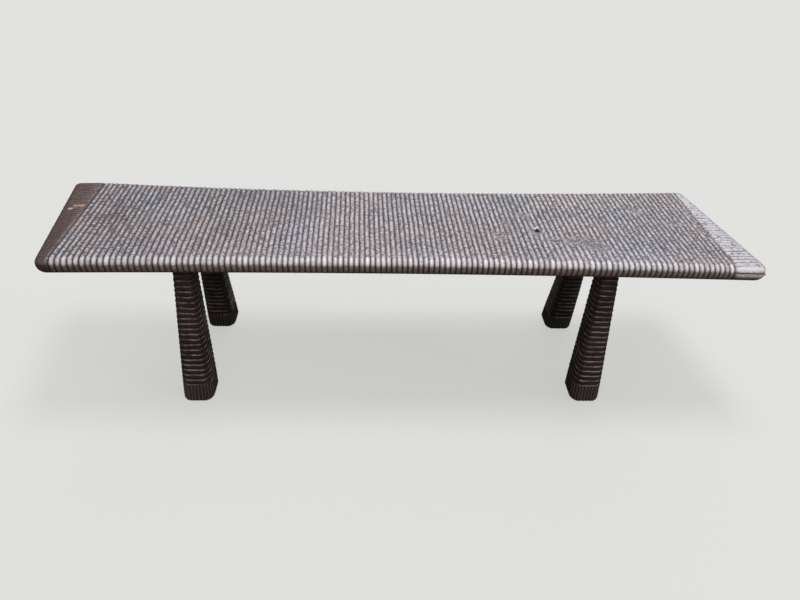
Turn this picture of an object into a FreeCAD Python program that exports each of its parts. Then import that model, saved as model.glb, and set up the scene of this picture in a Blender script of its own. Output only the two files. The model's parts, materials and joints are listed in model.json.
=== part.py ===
import FreeCAD, Part
import math
import os

# A low bench: one thick hand-hewn hardwood plank on four splayed, tapered legs.
# Lengths are in millimetres and angles in degrees. +Z is up and +X runs along the bench.
# The origin is on the floor, under the middle of the bench.

# Bench
seat_height = 450.0

# Seat plank, one board with rounded long edges and skewed ends
plank_length = 1527.0          # from end to end, measured along the middle
plank_depth = 326.0            # front to back, at the ends
plank_thickness = 40.0
plank_edge_flat = 1.0          # flat left between the upper and the lower edge rounding
left_skew = 8.5                # how far the left end leans from square
right_skew = 9.7
front_hollow = 9.5             # how far the front edge draws in at mid length
back_hollow = 23.0             # how far the back edge draws in at mid length
corner_core = 2.0              # plan radius of the four corners, inside the edge rounding

# Carved ridges that run from front to back, between a smoother border at each end
left_border = 55.0             # width of the left border, along the middle of the plank
right_border = 52.7
ridge_pitch = 11.6             # from one ridge to the next, on the average
ridges_per_groove = 5          # of the grooves between the ridges, one in five is cut
ridge_drift = 6.1              # how far the ridges drift from an even spacing
drift_share = 0.61             # share of the carved field in which the drift comes round
drift_start_share = 0.16       # share of the field at which the pitch is widest
ridge_lean = 1.9               # how far the ridges lean from square, at the most
lean_growth_power = 0.35       # the lean grows from the left border with this power
lean_end_power = 24.0          # and dies out towards the right border with this one
groove_width = 7.6
groove_depth = 2.7
groove_turn = 120.0            # how far a groove runs round the long edges, from the top

# Legs, square with round corners, tapered from a wide foot to a narrow head and splayed
leg_head_half = 22.5           # half the width at the underside of the plank
leg_foot_half = 41.0           # half the width at the floor
leg_corner_share = 0.6         # radius of the round corners, as a share of the half width
foot_edge_radius = 5.0
leg_end_inset = 288.0          # centre of a leg's head, from the end of the plank
leg_edge_inset = 86.0          # centre of a leg's head, from the long edge of the plank
leg_splay_x = 34.0             # a foot stands this much further out than its head
leg_splay_y = 57.5
legs_offset_x = 2.4            # the four legs stand this far to the right of the middle

# Joint between a leg and the plank: a round tenon in a blind mortise
tenon_radius = 14.0
tenon_clearance = 0.2          # glue room round the tenon
tenon_end_gap = 0.5            # glue room past the end of the tenon
wood_over_mortise = 12.0       # wood left between the mortise and the top of the plank

# Wedge that spreads the tenon as the mortise's floor drives it in
wedge_length = 18.0
wedge_edge_gap = 1.3           # how far the wedge's edges stay inside the tenon's skin
wedge_back_thickness = 5.0
wedge_tip_thickness = 2.0
kerf_past_wedge = 3.0          # the saw kerf runs this much deeper than the wedge

overrun = 5.0                  # how far a cutting shape passes the wood that it cuts

underside_height = seat_height - plank_thickness
edge_round = (plank_thickness - plank_edge_flat) / 2
half_length = plank_length / 2
half_depth = plank_depth / 2
leg_head_x = half_length - leg_end_inset
leg_head_y = half_depth - leg_edge_inset
leg_foot_x = leg_head_x + leg_splay_x
leg_foot_y = leg_head_y + leg_splay_y
field_left = left_border - half_length
field_length = plank_length - left_border - right_border
ridge_count = round(field_length / ridge_pitch)

sides = {"left": -1, "right": 1}
ends = {"front": -1, "back": 1}
skews = {-1: left_skew, 1: right_skew}
hollows = {-1: front_hollow, 1: back_hollow}
upward = FreeCAD.Vector(0, 0, 1)
lengthwise = FreeCAD.Vector(1, 0, 0)
crosswise = FreeCAD.Vector(0, 1, 0)
right_angle = 90.0


def plank_corner(side, end):
    """A sharp corner of the plank's outline, at the height of the underside."""
    y = end * half_depth
    x = side * half_length - y * math.tan(math.radians(skews[side]))
    return FreeCAD.Vector(x, y, underside_height)


def long_edge(end):
    """The wide arc that the front (-1) or the back (1) edge follows."""
    drop = half_depth - hollows[end]
    middle = FreeCAD.Vector(0, end * drop, underside_height)
    return Part.Arc(plank_corner(-1, end), middle, plank_corner(1, end))


def plank_outline():
    """The outline: two hollow long edges and two skewed straight ends."""
    edges = [
        long_edge(-1).toShape(),
        Part.LineSegment(plank_corner(1, -1), plank_corner(1, 1)).toShape(),
        long_edge(1).toShape(),
        Part.LineSegment(plank_corner(-1, 1), plank_corner(-1, -1)).toShape(),
    ]
    return Part.Face(Part.Wire(Part.sortEdges(edges)[0]))


def upright_edges(shape):
    """The vertical edges at the corners of a board."""
    return [edge for edge in shape.Edges if edge.BoundBox.ZLength > plank_thickness / 2]


def level_edges(shape):
    """The edges that lie in the top or the bottom face of a board."""
    return [edge for edge in shape.Edges if edge.BoundBox.ZLength < plank_thickness / 2]


def plank_blank():
    """The board with its corners and edges rounded, before it is carved and bored."""
    board = plank_outline().extrude(plank_thickness * upward)
    board = board.makeFillet(edge_round + corner_core, upright_edges(board))
    return board.makeFillet(edge_round, level_edges(board))


def drifted(share):
    """How far along the field a ridge starts, with the slow drift of the pitch."""
    turn = 2 * math.pi / drift_share
    swing = math.sin(turn * (share - drift_start_share)) + math.sin(turn * drift_start_share)
    return share * field_length + ridge_drift * swing


def edge_y(end, x):
    """Where a line square to the bench crosses the front or the back edge."""
    circle = long_edge(end).toShape().Curve
    return circle.Center.y - end * math.sqrt(circle.Radius ** 2 - (x - circle.Center.x) ** 2)


def groove_cutter(ridge):
    """A bar of V section that is bent over the top of the plank and round its long edges."""
    share = ridge / ridge_count
    x = field_left + drifted(share) * field_length / drifted(1)
    lean = ridge_lean * share ** lean_growth_power * (1 - share ** lean_end_power)
    start = edge_y(-1, x) + edge_round
    finish = edge_y(1, x) - edge_round
    half_width = groove_width / 2 * (groove_depth + overrun) / groove_depth
    top = seat_height + overrun
    section = [
        FreeCAD.Vector(x, start, seat_height - groove_depth),
        FreeCAD.Vector(x + half_width, start, top),
        FreeCAD.Vector(x - half_width, start, top),
    ]
    front_face = Part.Face(Part.makePolygon(section + [section[0]]))
    back_face = front_face.translated((finish - start) * crosswise)
    turn_centre = FreeCAD.Vector(x, start, seat_height - edge_round)
    far_centre = FreeCAD.Vector(x, finish, seat_height - edge_round)
    bar = front_face.extrude((finish - start) * crosswise)
    front_turn = front_face.revolve(turn_centre, lengthwise, groove_turn)
    back_turn = back_face.revolve(far_centre, lengthwise, -groove_turn)
    cutter = bar.fuse([front_turn, back_turn])
    cutter.rotate(FreeCAD.Vector(x, 0, 0), upward, lean)
    # as splines, which meet the wide torus of the rounded edge more surely than cones do
    return cutter.toNurbs()


def carved_plank():
    """The board with its carved grooves, centred on the origin by its overall length."""
    board = plank_blank()
    middle_x = board.optimalBoundingBox().Center.x
    first = ridge_count % ridges_per_groove
    grooves = range(first, ridge_count + 1, ridges_per_groove)
    board = board.cut([groove_cutter(ridge) for ridge in grooves])
    board.translate(-middle_x * lengthwise)
    print("plank moved", round(-middle_x, 2), "mm along, to centre its overall length")
    return board


def leg_head(side, end):
    """The centre of a leg where it meets the underside of the plank."""
    x = side * leg_head_x + legs_offset_x
    return FreeCAD.Vector(x, end * leg_head_y, underside_height)


def leg_foot(side, end):
    """The centre of a leg on the floor."""
    x = side * leg_foot_x + legs_offset_x
    return FreeCAD.Vector(x, end * leg_foot_y, 0)


def leg_placement(side, end):
    """The frame of a leg: origin at its head, Z up its axis, Y across the plank's grain."""
    head = leg_head(side, end)
    up = (head - leg_foot(side, end)).normalize()
    along = crosswise.cross(up).normalize()
    across = up.cross(along)
    return FreeCAD.Placement(head, FreeCAD.Rotation(along, across, up, "ZXY"))


leg_axis = leg_head(1, 1) - leg_foot(1, 1)
leg_length = leg_axis.Length
leg_tilt = math.acos(leg_axis.z / leg_length)
mortise_rise = plank_thickness - wood_over_mortise - tenon_radius * math.sin(leg_tilt)
mortise_depth = mortise_rise / math.cos(leg_tilt)
tenon_length = mortise_depth - tenon_end_gap
kerf_chord = 2 * math.sqrt(tenon_radius ** 2 - (wedge_back_thickness / 2) ** 2)
wedge_width = kerf_chord - 2 * wedge_edge_gap


def round_bar(radius, low, high):
    """A cylinder on a leg's axis, between two heights in the leg's frame."""
    return Part.makeCylinder(radius, high - low, FreeCAD.Vector(0, 0, low))


def rounded_square(centre, half):
    """A level square with round corners, as one closed wire."""
    radius = leg_corner_share * half
    flat = half - radius
    arcs = []
    for quarter, (x, y) in enumerate([(flat, flat), (-flat, flat), (-flat, -flat), (flat, -flat)]):
        corner = centre + FreeCAD.Vector(x, y, 0)
        start = quarter * right_angle
        arcs.append(Part.makeCircle(radius, corner, upward, start, start + right_angle))
    edges = []
    for arc, following in zip(arcs, arcs[1:] + arcs[:1]):
        start = arc.valueAt(arc.LastParameter)
        finish = following.valueAt(following.FirstParameter)
        edges += [arc, Part.LineSegment(start, finish).toShape()]
    return Part.Wire(edges)


def post(side, end):
    """The body of a leg, level at the floor and at its shoulder under the plank."""
    foot = rounded_square(leg_foot(side, end), leg_foot_half)
    head = rounded_square(leg_head(side, end), leg_head_half)
    body = Part.makeLoft([foot, head], True, True)
    foot_edges = [edge for edge in body.Edges if edge.BoundBox.ZMax < foot_edge_radius]
    return body.makeFillet(foot_edge_radius, foot_edges)


def wedge_profile(past_tip):
    """Outline of the wedge, or of its kerf where it runs past the tip, in the leg's X-Z plane."""
    half_back = wedge_back_thickness / 2
    half_tip = wedge_tip_thickness / 2
    tip = tenon_length - wedge_length
    points = [FreeCAD.Vector(half_back, 0, tenon_length), FreeCAD.Vector(half_tip, 0, tip)]
    if past_tip > 0:
        points.append(FreeCAD.Vector(half_tip, 0, tip - past_tip))
    mirrored = [FreeCAD.Vector(-point.x, 0, point.z) for point in reversed(points)]
    outline = points + mirrored
    return Part.Face(Part.makePolygon(outline + [outline[0]]))


def across_grain(face, width):
    """A face in the leg's X-Z plane, drawn out evenly to both sides along Y."""
    face.translate(FreeCAD.Vector(0, -width / 2, 0))
    return face.extrude(FreeCAD.Vector(0, width, 0))


def wedge(side, end):
    """The hardwood wedge in the end of a tenon."""
    shape = across_grain(wedge_profile(0), wedge_width)
    shape.Placement = leg_placement(side, end)
    return shape


def leg(side, end):
    """A leg with its tenon and the saw kerf for its wedge."""
    tenon = round_bar(tenon_radius, -overrun, tenon_length)
    kerf = across_grain(wedge_profile(kerf_past_wedge), 4 * tenon_radius)
    for shape in (tenon, kerf):
        shape.Placement = leg_placement(side, end)
    return post(side, end).fuse(tenon).cut(kerf).removeSplitter()


def mortise(side, end):
    """The round hole that is bored for a tenon, along the leg's axis."""
    hole = round_bar(tenon_radius + tenon_clearance, -overrun - tenon_radius, mortise_depth)
    hole.Placement = leg_placement(side, end)
    return hole


def save(name, shape):
    """Write one piece as its own file, after checking that it is one good solid."""
    solids = shape.Solids
    if len(solids) != 1 or not solids[0].isValid():
        raise ValueError(name + " is not one valid solid")
    solids[0].exportStep("parts/" + name + ".step")
    print(name, "volume", round(solids[0].Volume), "cubic mm")


os.makedirs("parts", exist_ok=True)
plank = carved_plank()
for end_name, end in ends.items():
    for side_name, side in sides.items():
        corner_name = end_name + "_" + side_name
        plank = plank.cut(mortise(side, end))
        save("leg_" + corner_name, leg(side, end))
        save("wedge_" + corner_name, wedge(side, end))
save("seat_plank", plank)
print("leg tilt", round(math.degrees(leg_tilt), 2), "degrees, tenon", round(tenon_length, 2), "mm")
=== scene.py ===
import bpy
import json
import math
import numpy as np
from mathutils import Matrix, Vector, noise

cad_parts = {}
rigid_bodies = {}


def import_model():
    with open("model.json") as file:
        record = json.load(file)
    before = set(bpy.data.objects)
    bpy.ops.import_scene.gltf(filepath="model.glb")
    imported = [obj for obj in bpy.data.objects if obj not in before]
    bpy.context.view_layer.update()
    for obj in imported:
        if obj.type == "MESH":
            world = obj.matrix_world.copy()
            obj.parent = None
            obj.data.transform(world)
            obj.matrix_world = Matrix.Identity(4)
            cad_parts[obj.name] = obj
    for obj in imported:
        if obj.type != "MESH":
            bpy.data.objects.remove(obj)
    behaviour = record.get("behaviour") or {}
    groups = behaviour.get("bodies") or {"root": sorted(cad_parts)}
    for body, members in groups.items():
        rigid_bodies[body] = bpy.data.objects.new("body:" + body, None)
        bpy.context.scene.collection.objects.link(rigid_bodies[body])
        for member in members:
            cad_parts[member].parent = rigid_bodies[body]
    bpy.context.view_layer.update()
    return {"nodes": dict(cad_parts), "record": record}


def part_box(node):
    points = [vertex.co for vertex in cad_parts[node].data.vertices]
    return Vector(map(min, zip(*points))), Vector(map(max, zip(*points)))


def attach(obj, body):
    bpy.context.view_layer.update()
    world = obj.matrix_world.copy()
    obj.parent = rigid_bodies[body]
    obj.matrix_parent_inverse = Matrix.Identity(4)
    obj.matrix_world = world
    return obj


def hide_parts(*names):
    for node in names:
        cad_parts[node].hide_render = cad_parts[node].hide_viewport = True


# A low bench of dark hardwood, carved all over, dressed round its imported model.
# Lengths are in metres. +Z is up, +X runs along the bench and -Y is its front.
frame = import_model()
scene = bpy.context.scene


# Seat plank: one thick board of dark stained hardwood with skewed ends and hollow long edges.
# Its top and its rounded edges are gouged by hand into ridges that run from front to back.
# Both ends keep a border whose shallow ridges run along the bench.
plank_low, plank_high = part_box("seat_plank")
plank_length = 1.527
plank_depth = 0.326
plank_shift = -0.00154
skews = {-1: math.radians(8.5), 1: math.radians(9.7)}
hollows = {-1: 0.0095, 1: 0.023}
corner_radius = 0.0215
edge_round = 0.0195
half_length = plank_length / 2
half_depth = plank_depth / 2


def long_edge(end):
    """Centre and radius of the wide arc that the front (-1) or the back (1) edge follows."""
    y = end * half_depth
    drop = end * (half_depth - hollows[end])
    left, right = [side * half_length - y * math.tan(skews[side]) for side in (-1, 1)]
    middle = (left + right) / 2
    push = (right - left) ** 2 / 4 + y ** 2 - middle ** 2 - drop ** 2
    reach = push / (2 * (y - drop))
    return np.array([middle + plank_shift, reach]), math.hypot(middle, reach - drop)


long_edges = {end: long_edge(end) for end in (-1, 1)}


def long_inset(points, end):
    """How far points lie inside the front or the back edge."""
    centre, radius = long_edges[end]
    return np.linalg.norm(points - centre, axis=-1) - radius


def end_inset(points, side):
    """How far points lie inside the left (-1) or the right (1) end."""
    square = half_length - side * (points[..., 0] - plank_shift)
    return square * math.cos(skews[side]) - side * points[..., 1] * math.sin(skews[side])


def corner(end, side):
    """Centre of a corner's arc, and the inward directions square to the two sides that meet there."""
    spot = np.array([side * half_length + plank_shift, end * half_depth])
    across = -side * np.array([math.cos(skews[side]), math.sin(skews[side])])
    for step in range(6):
        away = spot - long_edges[end][0]
        inward = away / np.linalg.norm(away)
        square = np.array([inward, across])
        miss = corner_radius - np.array([long_inset(spot, end), end_inset(spot, side)])
        spot = spot + np.linalg.solve(square, miss)
    return spot, square


corners = {(end, side): corner(end, side) for end in (-1, 1) for side in (-1, 1)}


def outline_inset(points):
    """How far points lie inside the plank's outline with its round corners."""
    inset = np.minimum.reduce([long_inset(points, -1), long_inset(points, 1),
                               end_inset(points, -1), end_inset(points, 1)])
    for centre, square in corners.values():
        offset = points - centre
        shares = offset @ np.linalg.inv(square)
        beyond = (shares < 0).all(axis=-1)
        arc = corner_radius - np.linalg.norm(offset, axis=-1)
        inset = np.where(beyond, arc, inset)
    return inset


def inward_direction(points):
    """Level direction that leads straight away from the outline."""
    nudge = 0.0001
    slopes = [outline_inset(points + step) - outline_inset(points - step)
              for step in (np.array([nudge, 0]), np.array([0, nudge]))]
    slope = np.stack(slopes, axis=-1)
    return slope / np.maximum(np.linalg.norm(slope, axis=-1, keepdims=True), nudge)


# The gouged field lies between the two borders. The pitch of its ridges drifts slowly,
# and the ridges lean a little more from the left border to the right one.
left_border = 0.055
right_border = 0.0527
ridge_count = 122
ridge_shares = (0, 0.14, 0.38, 0.62, 0.86)
ridge_drift = 0.0061
drift_share = 0.61
drift_start_share = 0.16
ridge_lean = math.radians(1.9)
lean_growth_power = 0.35
lean_end_power = 24
ridge_wander = 0.0011
ridge_calm_reach = 0.03
wander_size = 0.07
shiver_size = 0.018
shiver_share = 0.4
border_columns = 14
border_spread_power = 1.6
round_rows = 8
flat_rows = 104

field_left = left_border - half_length + plank_shift
field_length = plank_length - left_border - right_border
field_right = field_left + field_length
ridge_columns = len(ridge_shares)
field_columns = ridge_count * ridge_columns
column_count = field_columns + 2 * border_columns
row_count = flat_rows + 2 * round_rows
first_column = border_columns
last_column = border_columns + field_columns


def wander(points, size, seed):
    """Smooth noise from about -1 to 1 at each point, with features of the given size."""
    away = Vector((7.3 * seed, 3.1 * seed, 5.7 * seed))
    return np.array([noise.noise(Vector(point) / size + away) for point in points])


def drifted(share):
    """How far along the field a ridge starts."""
    turn = 2 * math.pi / drift_share
    swing = np.sin(turn * (share - drift_start_share)) + math.sin(turn * drift_start_share)
    return share * field_length + ridge_drift * swing


# Place across the field of every column, counted in ridges, and where that is on the board.
columns = np.arange(column_count + 1)
field_step = np.clip(columns - first_column, 0, field_columns)
ridge_number = field_step // ridge_columns
ridge_share = np.array(ridge_shares)[field_step % ridge_columns]
field_share = (ridge_number + ridge_share) / ridge_count
groove_x = field_left + drifted(field_share) * field_length / drifted(1)
lean = -math.tan(ridge_lean) * field_share ** lean_growth_power * (1 - field_share ** lean_end_power)

# Rows stand close together in the two roundings and evenly between them.
rows = np.arange(row_count + 1)
front_turn = np.clip(rows, 0, round_rows) / round_rows * math.pi / 2
back_turn = np.clip(row_count - rows, 0, round_rows) / round_rows * math.pi / 2
flat_share = np.clip((rows - round_rows) / flat_rows, 0, 1)
front_y, back_y = [
    centre[1] - end * np.sqrt(radius ** 2 - (groove_x - centre[0]) ** 2)
    for end, (centre, radius) in long_edges.items()]
front_step = edge_round * (1 - np.cos(front_turn))
back_step = edge_round * (1 - np.cos(back_turn))
flat_depth = (back_y - front_y - 2 * edge_round)[:, None]
spot_y = front_y[:, None] + front_step + flat_depth * flat_share + (edge_round - back_step)
spot_y = spot_y + 0 * rows
calm_places = (field_left, field_left + ridge_calm_reach, field_right - ridge_calm_reach, field_right)
calm = np.interp(groove_x, calm_places, (0, 1, 1, 0))
flow = np.stack([groove_x[:, None] + 0 * spot_y, spot_y, 0 * spot_y], axis=-1).reshape(-1, 3)
sway = ridge_wander * (wander(flow, wander_size, 1) + shiver_share * wander(flow, shiver_size, 8))
spot_x = groove_x[:, None] + lean[:, None] * spot_y + sway.reshape(spot_y.shape) * calm[:, None]

# Border columns share out the room between the field and the skewed end, closest at the end.
end_shares = (np.arange(border_columns) / border_columns) ** border_spread_power
for side, inner, outer in ((-1, first_column, 0), (1, last_column, column_count)):
    end_x = side * half_length + plank_shift - spot_y[inner] * math.tan(skews[side])
    for step, share in enumerate(end_shares):
        column = outer - side * step
        spot_y[column] = spot_y[inner]
        spot_x[column] = end_x + share * (spot_x[inner] - end_x)

# Near a corner the rows and columns close up and bend round it together.
layout = np.stack([spot_x, spot_y], axis=-1)
for (end, side), (centre, square) in corners.items():
    insets = np.stack([long_inset(layout, end), end_inset(layout, side)], axis=-1)
    deep = np.clip(1 - insets / corner_radius, 0, None)
    both = (deep > 0).all(axis=-1)[..., None]
    pulled = deep * np.sqrt(1 - np.clip(deep[..., ::-1], 0, 1) ** 2 / 2)
    move = corner_radius * (deep - pulled) @ np.linalg.inv(square).T
    layout = np.where(both, layout + move, layout)
rim = np.zeros(layout.shape[:2], bool)
rim[[0, -1], :] = True
rim[:, [0, -1]] = True
for step in range(5):
    layout[rim] -= inward_direction(layout[rim]) * outline_inset(layout[rim])[:, None]
inset = np.clip(outline_inset(layout), 0, None)
inset[rim] = 0
inward = inward_direction(layout)

# The blank is a grid whose rim is drawn down, step by step, round the lower half of the edge.
rim_steps = 1 + round_rows
tray_step = 0.01


def start_fresh(piece=None):
    """Leave nothing selected, or one piece alone, for the next operator to work on."""
    if bpy.context.mode != "OBJECT":
        bpy.ops.object.mode_set(mode="OBJECT")
    bpy.ops.object.select_all(action="DESELECT")
    if piece:
        bpy.context.view_layer.objects.active = piece
        piece.select_set(True)


start_fresh()
bpy.ops.mesh.primitive_grid_add(x_subdivisions=column_count, y_subdivisions=row_count, size=1)
plank = bpy.context.object
plank.name = "carved_seat_plank"
bpy.ops.object.mode_set(mode="EDIT")
bpy.ops.mesh.select_all(action="SELECT")
bpy.ops.mesh.region_to_loop()
for step in range(rim_steps):
    bpy.ops.mesh.extrude_edges_move(TRANSFORM_OT_translate={"value": (0, 0, -tray_step)})
bpy.ops.object.mode_set(mode="OBJECT")


def mesh_points(piece):
    """All points of a piece's mesh, one row each."""
    flat = np.zeros(len(piece.data.vertices) * 3)
    piece.data.vertices.foreach_get("co", flat)
    return flat.reshape(-1, 3)


def put_points(piece, points):
    """Write such rows back to a piece's mesh."""
    piece.data.vertices.foreach_set("co", points.ravel())
    piece.data.update()


def paint(piece, name, values):
    """Store one number for each point of a piece, for its material to read."""
    layer = piece.data.attributes.new(name, "FLOAT", "POINT")
    layer.data.foreach_set("value", values.astype(np.float32))


tray = mesh_points(plank)
column = np.rint((tray[:, 0] + 0.5) * column_count).astype(int)
row = np.rint((tray[:, 1] + 0.5) * row_count).astype(int)
level = np.rint(-tray[:, 2] / tray_step).astype(int)

# Shape of the smooth board: where each point lies, and which way it faces.
spot = layout[column, row]
facing_in = inward[column, row]
turn = np.arccos(np.clip((edge_round - inset[column, row]) / edge_round, 0, 1))
turn = np.where(level > 0, -(level - 1) / round_rows * math.pi / 2, turn)
drawn_in = np.where(level > 0, edge_round * (1 - np.cos(turn)), 0)
height = np.where(level > 0, plank_low.z + edge_round, plank_high.z - edge_round)
smooth = np.column_stack([spot + facing_in * drawn_in[:, None], height + edge_round * np.sin(turn)])
facing = np.column_stack([-facing_in * np.cos(turn)[:, None], np.sin(turn)])

# Gouge cuts of the field: rounded ridges with pebbly tool marks along their crests.
ridge_depth = 0.0028
ridge_fullness = 0.95
tooth_fullness = 0.7
bead_depth = 0.0008
bead_rows = 3.4
crest_play = 0.0005
end_deepening = 1.35
rough_depth = 0.0014
grain_depth = 0.0004

# Places where the carver's ridges fade: knots and worn patches, as (x, y, reach in x, reach in y).
faded_patches = (
    (0.2235, -0.050, 0.014, 0.014),
    (0.3095, -0.034, 0.013, 0.013),
    (0.4015, -0.066, 0.034, 0.016),
    (0.3415, -0.066, 0.016, 0.010),
    (0.2965, 0.036, 0.012, 0.010),
    (0.5715, 0.058, 0.014, 0.012),
    (0.2465, 0.000, 0.012, 0.006),
    (0.7025, 0.010, 0.008, 0.050),
    (0.4365, -0.090, 0.020, 0.014),
    (0.6515, 0.008, 0.022, 0.006),
)

in_field = (column >= first_column) & (column <= last_column)
along_row = np.where((level > 0) & (row == 0), -level, row)
along_row = np.where((level > 0) & (row == row_count), row_count + level, along_row)
share = ridge_share[column]
number = ridge_number[column]
front_row = np.where(level > 0, 0, row)
fullness = np.interp(front_row, (4, round_rows + 1), (tooth_fullness, ridge_fullness))
fullness = np.where((level > 0) & (row > 0), ridge_fullness, fullness)
crest = np.abs(np.sin(math.pi * share)) ** fullness
bead_drift = wander(np.column_stack([number * 0.9, along_row * 0.12, 0 * share]), 1, 2)
beads = 0.5 * np.sin(2 * math.pi * (along_row / bead_rows + 0.37 * number + 1.1 * bead_drift))
play = wander(np.column_stack([number * 1.9, along_row * 0.035, 0 * share]), 1, 3)
zones = wander(smooth, 0.16, 4)
fine = wander(smooth, 0.009, 5)
small = wander(smooth, 0.0045, 6)

faded = np.zeros(len(smooth))
for x, y, reach_x, reach_y in faded_patches:
    away = ((smooth[:, 0] - x) / reach_x) ** 2 + ((smooth[:, 1] - y) / reach_y) ** 2
    faded = np.maximum(faded, np.exp(-away ** 1.5))
faded = np.clip(faded * (1 + 0.5 * fine), 0, 0.95)

at_ends = np.interp(along_row, (-1, round_rows, row_count - round_rows, row_count),
                    (end_deepening, 1, 1, end_deepening))
depth = ridge_depth * at_ends * (1 + 0.22 * play + 0.15 * zones)
groove = (1 - crest) * (1 - 0.85 * faded)
bead_zone = np.clip(0.75 + 0.9 * zones - 0.8 * smooth[:, 0], 0.4, 1.5)
field_cut = depth * groove + bead_depth * bead_zone * (0.5 + beads) * crest ** 2 * (1 - 0.4 * faded)
field_cut = field_cut + crest_play * (0.5 + play) + rough_depth * faded * (0.55 + 0.7 * small)

# The right border's ridges lie between cuts at these places across the board. Some are deep.
right_cuts = (-0.160, -0.149, -0.138, -0.1265, -0.115, -0.107, -0.097, -0.085, -0.076, -0.066, -0.057,
              -0.048, -0.038, -0.028, -0.018, -0.008, 0.002, 0.010, 0.0205, 0.031, 0.042, 0.052,
              0.063, 0.074, 0.085, 0.096, 0.107, 0.118, 0.130, 0.145, 0.160)
deep_cuts = (-0.115, -0.107, -0.097, -0.085, -0.066, -0.048, -0.028, -0.018, 0.010)
right_border_depth = 0.0017
right_cut_wander = 0.0016
edge_cut_depth = 0.0007
edge_cut_turn = math.radians(20)
edge_cut_spread = math.radians(9)
left_border_depth = 0.0005
left_line_rows = 3
tip_columns = 5
corner_steps = 5

border_step = np.where(column < first_column, first_column - column, column - last_column)
from_end = np.minimum(column, column_count - column)
from_edge = np.minimum(row, row_count - row)
near_corner = np.clip(np.maximum(from_end, from_edge) / corner_steps, 0, 1)
line_play = wander(np.column_stack([border_step * 0.06, along_row * 0.21, 0 * share]), 1, 7)
crossed = smooth[:, 1] + right_cut_wander * wander(smooth, 0.03, 9)
counted = np.interp(crossed, right_cuts, range(len(right_cuts)))
point_shape = np.interp(border_step, (0, 1, tip_columns), (4, 2.6, 0.6))
right_lines = 1 - np.abs(np.sin(math.pi * counted)) ** point_shape
nearest = np.array(right_cuts)[np.rint(counted).astype(int)]
right_lines = right_lines * np.where(np.isin(nearest, deep_cuts), 1, 0.5)
flat_limits = (round_rows - 4, round_rows, row_count - round_rows, row_count)
on_flat = np.interp(along_row, flat_limits, (0, 1, 1, 0))
quiet_back = np.interp(smooth[:, 1], (0.050, 0.090), (1, 0.3))
right_lines = right_lines * on_flat * quiet_back * near_corner
edge_cut = np.exp(-((turn - edge_cut_turn) / edge_cut_spread) ** 2)
edge_cut = edge_cut * np.interp(smooth[:, 1], (-0.15, -0.06), (1, 0)) * (column > last_column)
right_cut = right_border_depth * (1 + 0.4 * line_play) * right_lines
right_cut = right_cut + edge_cut_depth * edge_cut + grain_depth * (0.5 + fine)

left_share = (along_row - 1) / left_line_rows
left_lines = (1 - np.abs(np.sin(math.pi * left_share)) ** 1.2) * on_flat * near_corner
left_lines = left_lines * np.clip(border_step / 3, 0, 1)
left_cut = left_border_depth * (1 + 0.6 * line_play) * left_lines + grain_depth * (0.5 + fine)
is_left = column < first_column
is_right = column > last_column
cut = np.where(in_field, field_cut, np.where(is_right, right_cut, left_cut))

# A knot has fallen out and left a small hole with a raised rim.
knot_hole = (0.3130, -0.0265)
knot_radius = 0.0056
knot_depth = 0.011
knot_rim_rise = 0.0006
hole_away = np.linalg.norm(smooth[:, :2] - knot_hole, axis=1) / knot_radius
hole = np.exp(-hole_away ** 3) * (level == 0)
rim_side = (smooth[:, 1] > knot_hole[1]) & (smooth[:, 0] < knot_hole[0] + knot_radius)
knot_rim = 0.8 * np.exp(-((hole_away - 1.45) / 0.4) ** 2) * rim_side * (level == 0)

# A chip on the left border, a ragged patch of paler wood with a rubbed speck beside it.
chip_spot = (-0.7280, 0.0425)
chip_reach = (0.0155, 0.0115)
chip_depth = 0.0008
speck_spot = (-0.7420, 0.0290)
speck_reach = 0.0042
chip_away = np.linalg.norm((smooth[:, :2] - chip_spot) / chip_reach, axis=1)
chip = np.exp(-chip_away ** 3) * (level == 0) * is_left
speck_away = np.linalg.norm(smooth[:, :2] - speck_spot, axis=1) / speck_reach
speck = np.exp(-speck_away ** 2) * (level == 0)

# Cuts run out before the flat underside. Their darkening, partly painted shade, reaches further than
# their depth.
run_out = np.interp(level, (0, 2, 5), (1, 0.85, 0))
groove_dark_reach = np.interp(level, (0, 5, 7), (1, 1, 0))
cut = (np.maximum(cut - knot_rim_rise * knot_rim, 0) + knot_depth * hole + chip_depth * chip) * run_out
carved = smooth - facing * cut[:, None]

# The back edge is worn off towards the left corner.
worn_start = -0.7135
worn_length = 0.055
worn_depth = 0.011
worn_reach = 0.035
worn = np.clip((worn_start - smooth[:, 0]) / worn_length, 0, 1) * worn_depth
near_back = np.clip(1 - long_inset(smooth[:, :2], 1) / worn_reach, 0, 1)
carved[:, 1] -= worn * near_back ** 1.5
put_points(plank, carved)

# Painted shade darkens the gaps between the pebbles of a crest, and the grooves are painted less dark
# towards the middle, the right and the front. A painted highlight lies along the front arris, and
# below it the ribs' crests are painted a lighter brown, partly as the light on them.
pebble_gap_shade = np.clip(-2.0 * beads, 0, 1) * np.clip(bead_zone - 0.2, 0.1, 1) * 0.42
pebble_gap_shade = pebble_gap_shade * (front_row > round_rows) + faded * np.clip(0.1 - 2.2 * small, 0, 1)
tooth_side = (front_row <= round_rows) & (row < round_rows + 1)
groove_tone = np.where(tooth_side, 1 - crest ** 2, (1 - crest ** 1.35) * (1 - 0.85 * faded))
# Painted light: the grooves are less dark towards the middle, the right and the front.
groove_light = np.interp(smooth[:, 0], (-0.75, -0.2), (0, 1))
groove_light = groove_light * np.interp(front_row, (4, 30), (0.30, 0.17))
groove_tone = groove_tone * (1 - groove_light * (front_row > 2))
border_hollow = np.where(is_right, 0.3 * right_lines, 1.0 * left_lines)
hollow = np.where(in_field, np.maximum(groove_tone, pebble_gap_shade) * (1 - 0.3 * faded), border_hollow)
hollow = np.maximum(np.clip(hollow, 0, 1), hole * 1.3) * groove_dark_reach
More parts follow.
